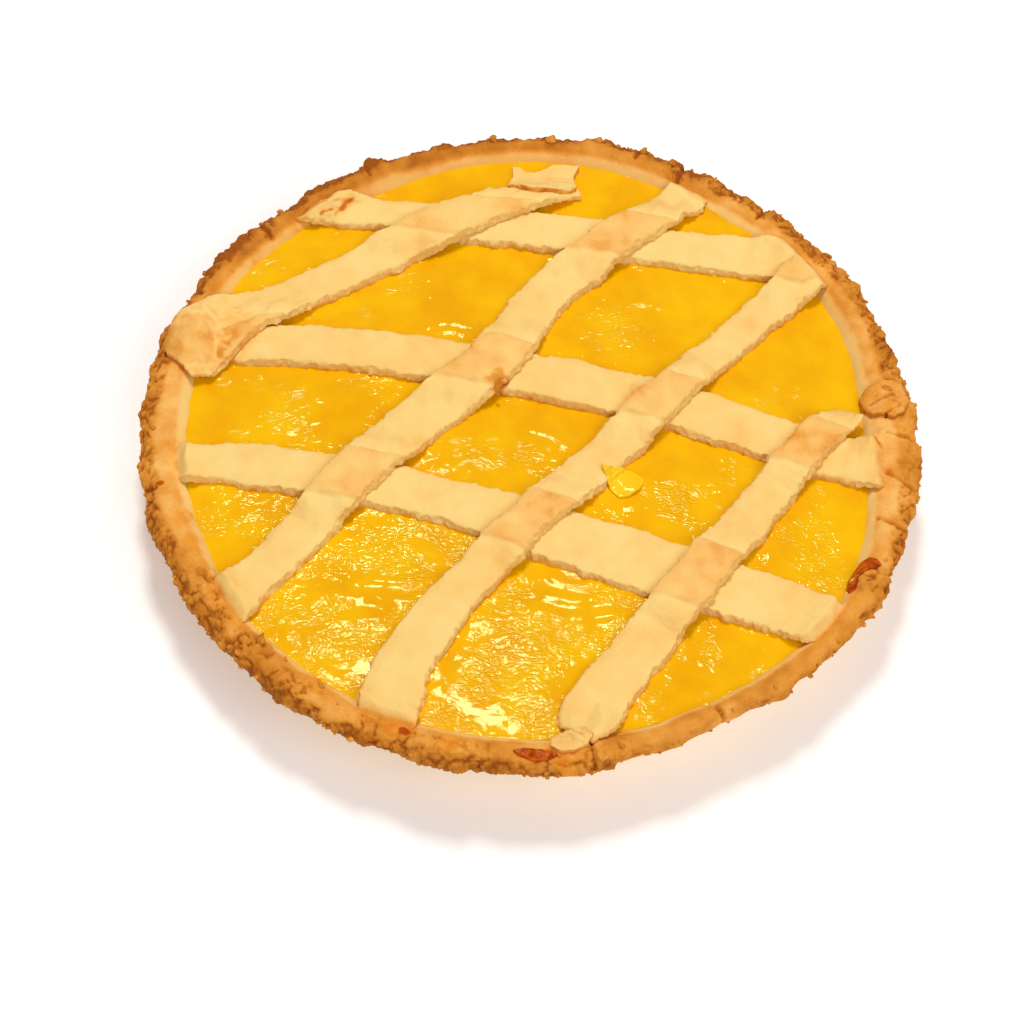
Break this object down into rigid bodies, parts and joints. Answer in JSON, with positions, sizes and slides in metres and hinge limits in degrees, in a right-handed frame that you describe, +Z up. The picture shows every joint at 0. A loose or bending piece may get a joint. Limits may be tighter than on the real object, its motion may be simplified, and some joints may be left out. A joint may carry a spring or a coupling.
{
  "type": "lemon tart",
  "caption": "Round baked shortcrust tart filled with glossy lemon curd, under an uneven lattice of dough strips, with a rough browned rim.",
  "frame": {"origin": "middle of the flat underside", "axes": "+Z up, -Y to the front, where the camera of the picture stands, +X to the right"},
  "size_m": [0.271, 0.2732, 0.0371],
  "materials": {
    "browned_shortcrust": "baked shortcrust, golden brown, dull and crumbly",
    "pale_shortcrust": "baked shortcrust, pale gold, browned where it stands proud",
    "lemon_curd": "set lemon curd, wet gloss",
    "baked_curd": "curd baked to dark caramel, glossy"
  },
  "bodies": {
    "root": {"crust": "browned_shortcrust", "curd": "lemon_curd", "lower_strip_1": "pale_shortcrust", "lower_strip_2": "pale_shortcrust", "lower_strip_3": "pale_shortcrust", "upper_strip_1": "pale_shortcrust", "upper_strip_2": "pale_shortcrust", "upper_strip_3": "pale_shortcrust", "upper_strip_4": "pale_shortcrust", "strip_patch": "pale_shortcrust", "strip_end_knob": "pale_shortcrust", "rim_scrap": "browned_shortcrust", "curd_flake": "lemon_curd", "baked_curd_right": "baked_curd", "baked_curd_front": "baked_curd"}
  },
  "joints": []
}
